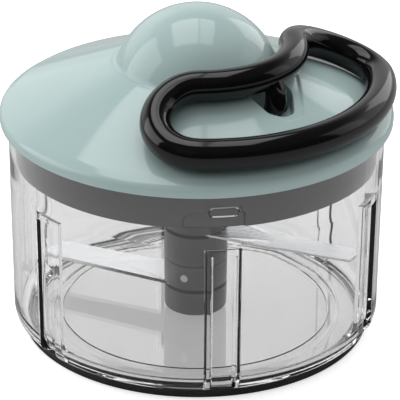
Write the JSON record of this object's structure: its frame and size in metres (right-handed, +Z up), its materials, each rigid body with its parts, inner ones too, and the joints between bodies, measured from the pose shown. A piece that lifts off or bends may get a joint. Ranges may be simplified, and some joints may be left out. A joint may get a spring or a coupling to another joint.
{
  "type": "pull-cord food chopper",
  "caption": "Pull-cord food chopper: clear fluted bowl, bladed column on a floor pin, and a domed lid with a sprung cord reel, one-way clutch and looped handle.",
  "frame": {"origin": "on the surface the chopper stands on, under the centre of the bowl, which is the centre of the bounding box's base", "axes": "+Z up along the axis that the blade column turns on, -Y to the front of the picture and +X to its right, where the handle reaches"},
  "size_m": [0.1658, 0.165, 0.142],
  "materials": {
    "clear_plastic": "clear, polished",
    "sage_plastic": "glossy",
    "grey_plastic": "satin",
    "black_plastic": "glossy",
    "soft_rubber": "matt",
    "white_plastic": "satin",
    "stainless": "brushed",
    "spring_steel": "blued",
    "zinc_steel": "zinc plated",
    "cord_fibre": "braided"
  },
  "bodies": {
    "base": {"bowl": "clear_plastic", "pivot_pin": "stainless", "base_ring": "soft_rubber"},
    "blade_unit": {"column_foot": "grey_plastic", "lower_blade": "stainless", "column_lower": "grey_plastic", "column_middle": "grey_plastic", "upper_blade": "stainless", "column_upper": "grey_plastic", "column_rivet": "stainless", "blade_spindle": "stainless"},
    "lid": {"lid_cover": "sage_plastic", "lid_plug": "grey_plastic", "lid_screw_1": "zinc_steel", "lid_screw_2": "zinc_steel", "lid_screw_3": "zinc_steel", "lid_screw_4": "zinc_steel", "reel_post": "white_plastic", "reel_screw": "zinc_steel", "power_spring": "spring_steel", "shaft_bush": "stainless", "cord_guide": "stainless", "cord_lead": "cord_fibre"},
    "reel": {"cord_reel": "white_plastic", "cord_winding": "cord_fibre", "spring_cover": "zinc_steel", "pawl_pin_1": "zinc_steel", "pawl_pin_2": "zinc_steel"},
    "first_pawl": {"pawl_1": "zinc_steel"},
    "second_pawl": {"pawl_2": "zinc_steel"},
    "drive": {"drive_shaft": "white_plastic", "ratchet_wheel": "white_plastic", "shaft_clip": "spring_steel"},
    "handle": {"pull_handle": "black_plastic", "knot_cap": "grey_plastic", "cord_knot": "cord_fibre", "pull_cord": "cord_fibre"}
  },
  "joints": [
    {"name": "lid_lift", "type": "slide", "parent": "base", "child": "lid", "axis": [0, 0, 1], "range_m": [0, 0.15]},
    {"name": "handle_pull", "type": "slide", "parent": "lid", "child": "handle", "axis": [0.5171, -0.4822, 0.7071], "range_m": [0, 0.3], "stiffness_N_per_m": 6, "springref_m": -1},
    {"name": "reel_spin", "type": "hinge", "parent": "lid", "child": "reel", "pos_m": [0, 0, 0.1], "axis": [0, 0, 1], "range_deg": [0, 602]},
    {"name": "drive_spin", "type": "hinge", "parent": "lid", "child": "drive", "pos_m": [0, 0, 0.09], "axis": [0, 0, 1], "range_deg": [0, 602]},
    {"name": "blade_spin", "type": "hinge", "parent": "base", "child": "blade_unit", "pos_m": [0, 0, 0.02], "axis": [0, 0, 1], "range_deg": [0, 602]},
    {"name": "first_pawl_tilt", "type": "hinge", "parent": "reel", "child": "first_pawl", "pos_m": [0.0175, 0, 0.092], "axis": [0, 0, -1], "range_deg": [0, 12]},
    {"name": "second_pawl_tilt", "type": "hinge", "parent": "reel", "child": "second_pawl", "pos_m": [-0.0175, 0, 0.092], "axis": [0, 0, -1], "range_deg": [0, 12]}
  ],
  "couplings": [
    {"joint": "reel_spin", "follows": "handle_pull", "rad_per_m": 35},
    {"joint": "drive_spin", "follows": "handle_pull", "rad_per_m": 35},
    {"joint": "blade_spin", "follows": "handle_pull", "rad_per_m": 35},
    {"joint": "second_pawl_tilt", "follows": "first_pawl_tilt", "ratio": 1}
  ]
}
